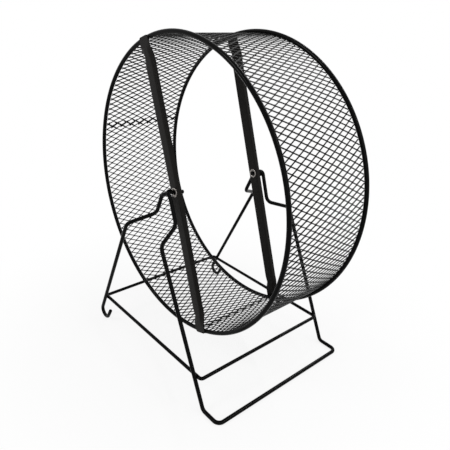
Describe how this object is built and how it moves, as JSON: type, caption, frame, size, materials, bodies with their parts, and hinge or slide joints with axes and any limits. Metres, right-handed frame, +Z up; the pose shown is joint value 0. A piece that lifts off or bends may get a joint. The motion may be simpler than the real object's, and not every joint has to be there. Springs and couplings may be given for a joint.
{
  "type": "hamster wheel",
  "caption": "Running wheel for small pets: a drum of expanded metal between wire rims, on a crossbar at each side that spins on a bent-wire stand with hooked feet.",
  "frame": {"origin": "on the floor, under the middle of the wheel's axle", "axes": "+Z up, +Y along the axle towards the rear, +X towards the floor bar of the stand"},
  "size_m": [0.28, 0.1708, 0.3168],
  "materials": {
    "wire_coat": "satin black powder coat on round steel wire",
    "mesh_coat": "satin black powder coat on expanded steel mesh",
    "bar_coat": "satin dark grey powder coat on pressed steel strip",
    "eyelet_steel": "bright worn steel"
  },
  "bodies": {
    "stand": {"frame_wire": "wire_coat", "front_left_leg": "wire_coat", "rear_left_leg": "wire_coat", "base_loop": "wire_coat"},
    "wheel": {"front_rim": "wire_coat", "rear_rim": "wire_coat", "mesh_drum": "mesh_coat", "front_crossbar": "bar_coat", "rear_crossbar": "bar_coat", "front_eyelet": "eyelet_steel", "rear_eyelet": "eyelet_steel"}
  },
  "joints": [
    {"name": "wheel_spin", "type": "hinge", "parent": "stand", "child": "wheel", "pos_m": [0, 0, 0.177], "axis": [0, 1, 0], "continuous": true}
  ]
}
